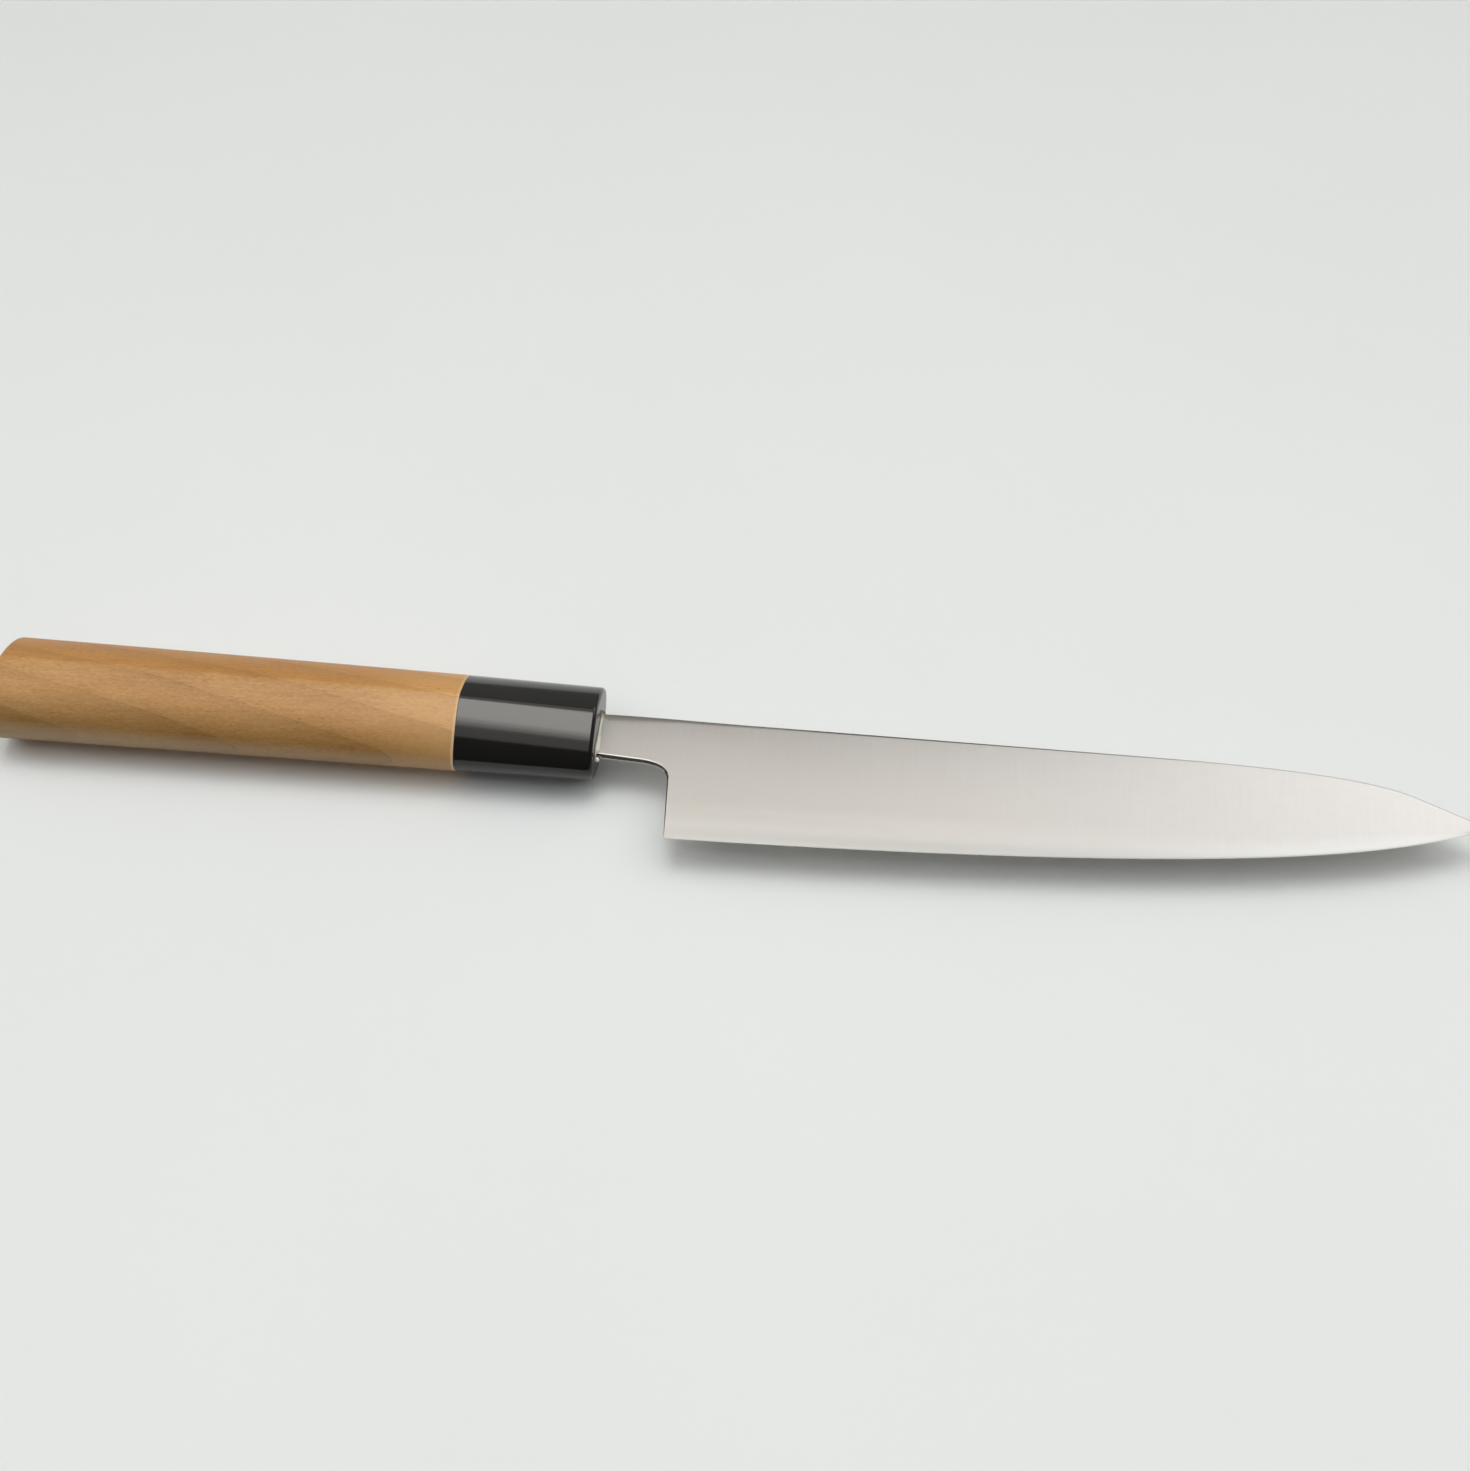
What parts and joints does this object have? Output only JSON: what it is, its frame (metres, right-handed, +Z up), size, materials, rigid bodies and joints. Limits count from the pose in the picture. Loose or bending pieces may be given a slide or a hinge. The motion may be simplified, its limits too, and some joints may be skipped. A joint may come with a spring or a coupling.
{
  "type": "petty knife",
  "caption": "Slim kitchen knife with a thin satin steel blade on a straight neck, a glossy black ferrule and a wooden handle of chestnut section, lying on its side.",
  "frame": {"origin": "centre of the knife's bounding box, on the surface that it lies on", "axes": "+X along the handle's axis to the tip, +Y towards the spine with the edge on the -Y side, +Z up, out of the knife's right side"},
  "size_m": [0.28, 0.0356, 0.0172],
  "materials": {
    "satin_steel": "fine satin ground from spine to edge, honed bright at the edge",
    "black_plastic": "polished black",
    "handle_wood": "fine-grained pale brown wood, sanded smooth, bare satin",
    "resin": "hardened yellowish resin"
  },
  "bodies": {
    "root": {"blade": "satin_steel", "ferrule": "black_plastic", "handle": "handle_wood", "tang_bedding": "resin", "mouth_seal": "resin"}
  },
  "joints": []
}
